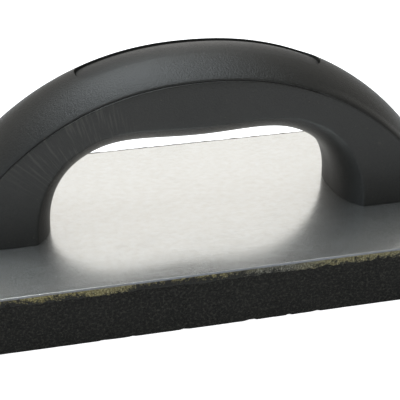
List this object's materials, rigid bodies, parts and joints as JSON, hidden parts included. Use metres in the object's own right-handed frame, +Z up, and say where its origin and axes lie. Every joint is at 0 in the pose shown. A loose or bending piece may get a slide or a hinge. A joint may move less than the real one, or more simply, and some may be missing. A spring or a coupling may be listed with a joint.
{
  "type": "rubber finishing float",
  "caption": "Hand float with a thick sponge rubber pad under a thin bright steel plate and a hollow black D-shaped handle screwed on from below.",
  "frame": {"origin": "centre of the pad's flat working face, the lowest face of the part", "axes": "+X along the length of the plate and handle, +Y across the plate, +Z up out of the plate towards the grip"},
  "size_m": [0.28, 0.115, 0.0885],
  "materials": {
    "sponge_rubber": "fine closed-cell sponge, matt black, cut edges",
    "adhesive": "dried contact adhesive, mottled ochre and grey",
    "back_plate": "bright satin sheet, nearly a mirror at low angles",
    "handle": "moulded black plastic, fine grain with a soft sheen",
    "grip_panel": "moulded black plastic, fine grain",
    "screws": "zinc plated steel"
  },
  "bodies": {
    "root": {"sponge_pad": "sponge_rubber", "adhesive_film": "adhesive", "back_plate": "back_plate", "handle_channel": "handle", "handle_hood": "handle", "grip_panel": "grip_panel", "foot_screw_1": "screws", "foot_screw_2": "screws", "foot_screw_3": "screws", "foot_screw_4": "screws"}
  },
  "joints": []
}
